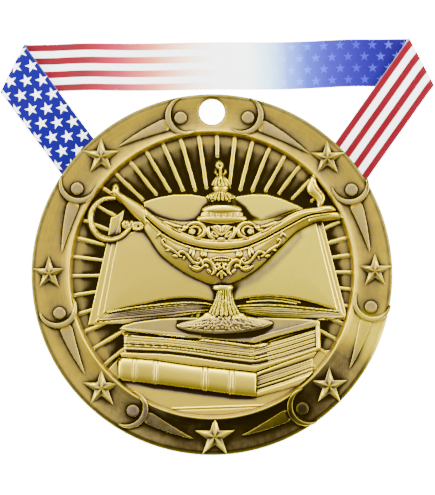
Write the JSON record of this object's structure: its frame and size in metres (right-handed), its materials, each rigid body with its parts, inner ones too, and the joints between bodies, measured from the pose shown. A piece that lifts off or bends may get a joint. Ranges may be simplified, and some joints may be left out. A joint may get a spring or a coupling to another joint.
{
  "type": "academic medallion",
  "caption": "Round cast medal with a lamp, books, rays and a border of stars and figures in relief, lying on its narrow striped and starred neck ribbon.",
  "frame": {"origin": "middle of the footprint, on the surface that the ribbon lies on", "axes": "+Z out of the medal's face, +Y from the medal's middle to its hanging hole, +X to the right of the face"},
  "size_m": [0.0918, 0.0882, 0.0066],
  "materials": {
    "medal_metal": "antique gold-coloured cast metal, dark patina in the recesses",
    "ribbon_cloth": "woven satin ribbon with a printed pattern",
    "stud_metal": "plain brass-coloured metal"
  },
  "bodies": {
    "root": {"medal": "medal_metal", "neck_ribbon": "ribbon_cloth", "ribbon_stud": "stud_metal"}
  },
  "joints": []
}
